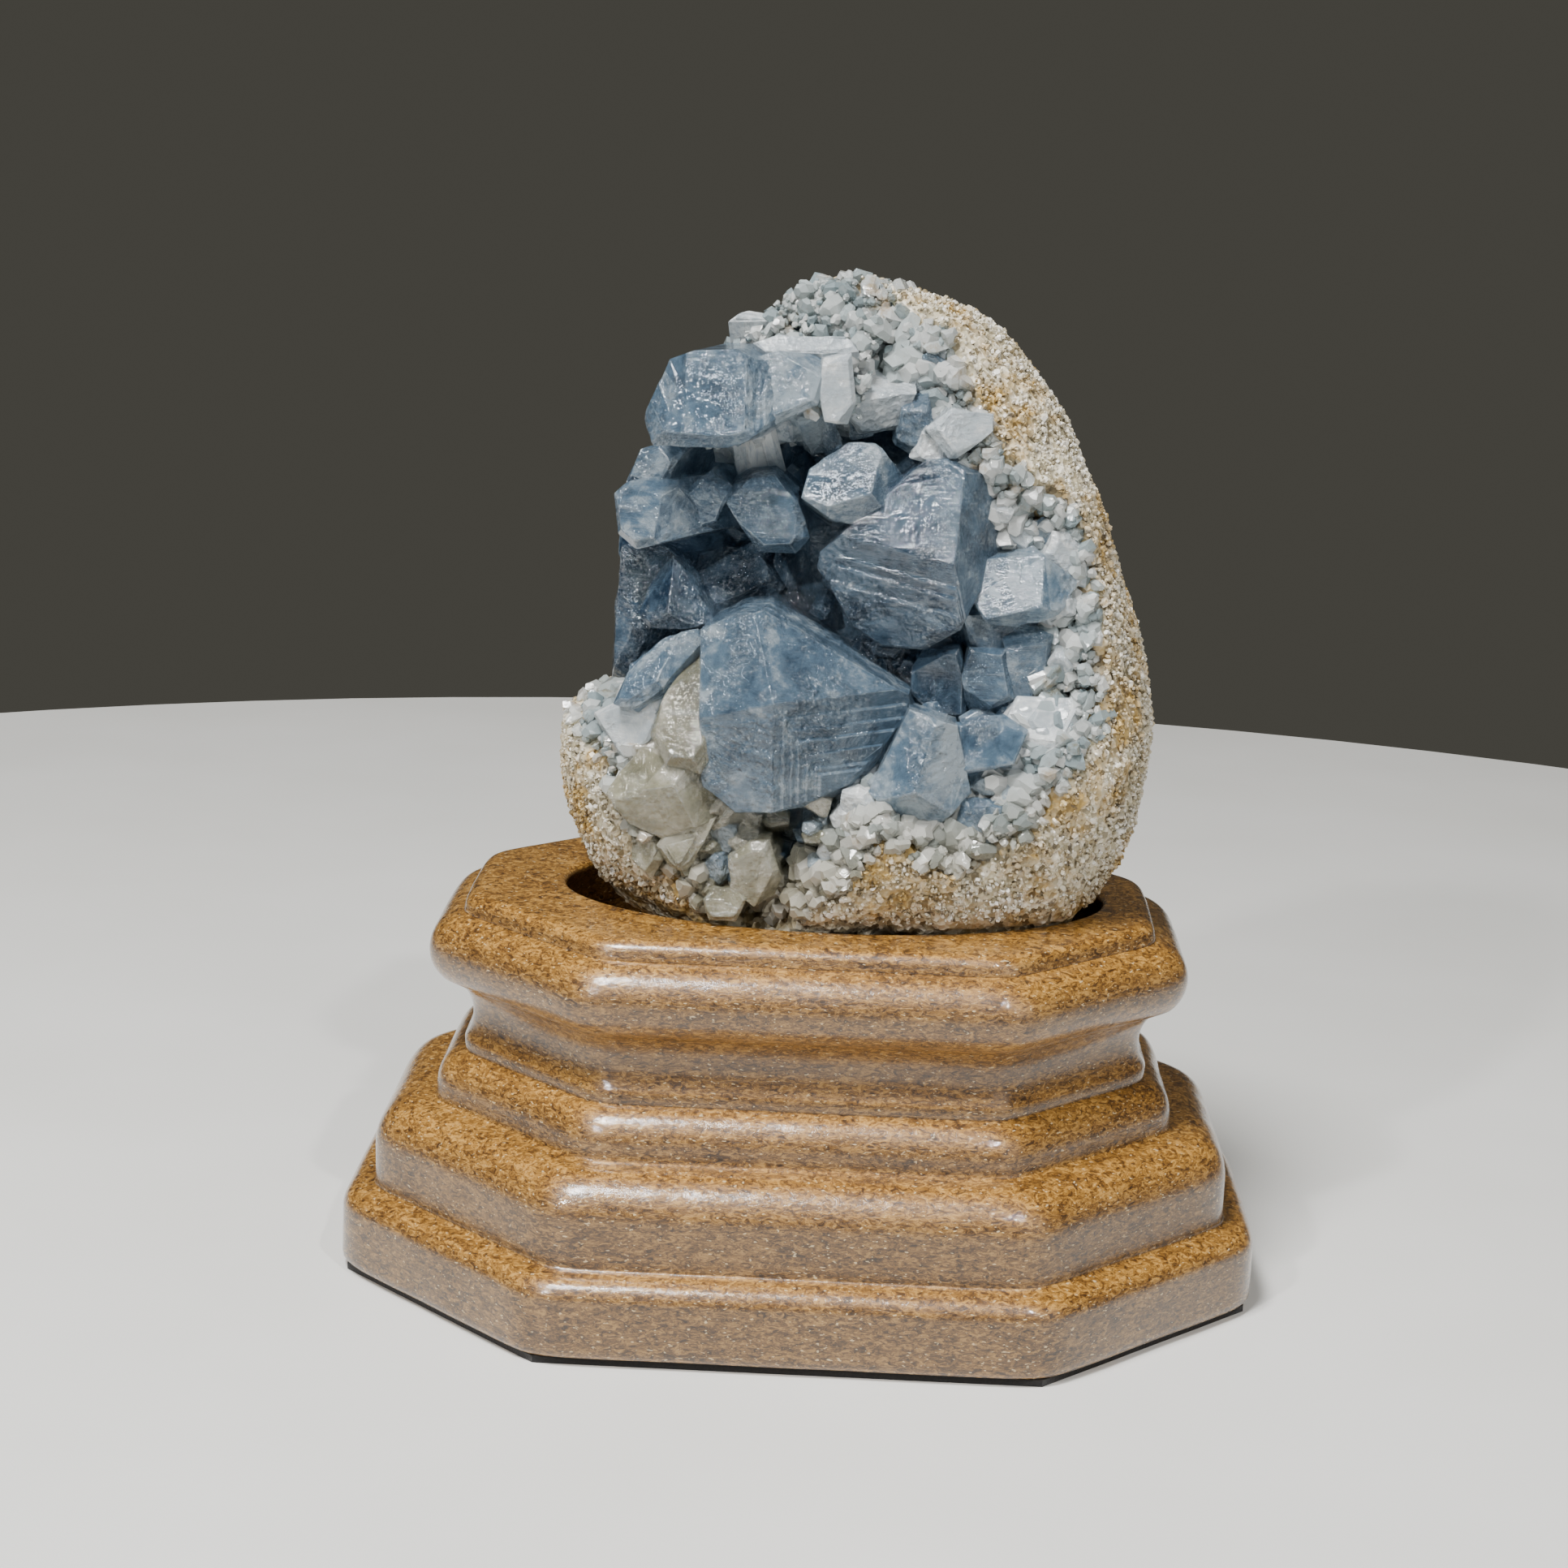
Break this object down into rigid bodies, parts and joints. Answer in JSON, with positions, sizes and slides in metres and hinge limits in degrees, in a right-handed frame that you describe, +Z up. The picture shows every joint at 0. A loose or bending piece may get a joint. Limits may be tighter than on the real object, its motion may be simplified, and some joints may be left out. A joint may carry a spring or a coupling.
{
  "type": "celestite geode on a wooden base",
  "caption": "Open celestite geode with pale blue crystals in a sugary rind, standing in the oval pocket of a routed octagonal varnished base on a felt pad.",
  "frame": {"origin": "middle of the base, on the surface that the felt pad rests on", "axes": "+Z up, -Y towards the front, where the geode is open, +X to the right as seen from the front"},
  "size_m": [0.14, 0.11, 0.152],
  "materials": {
    "varnished_mdf": "medium density fibreboard under gloss varnish",
    "black_felt": "thin black felt",
    "rind_stone": "sugary weathered rind, cream with ochre stains",
    "celestite": "clear to frosted pale blue crystal"
  },
  "bodies": {
    "root": {"wooden_base": "varnished_mdf", "felt_pad": "black_felt", "geode_rind": "rind_stone", "celestite_crystals": "celestite"}
  },
  "joints": []
}
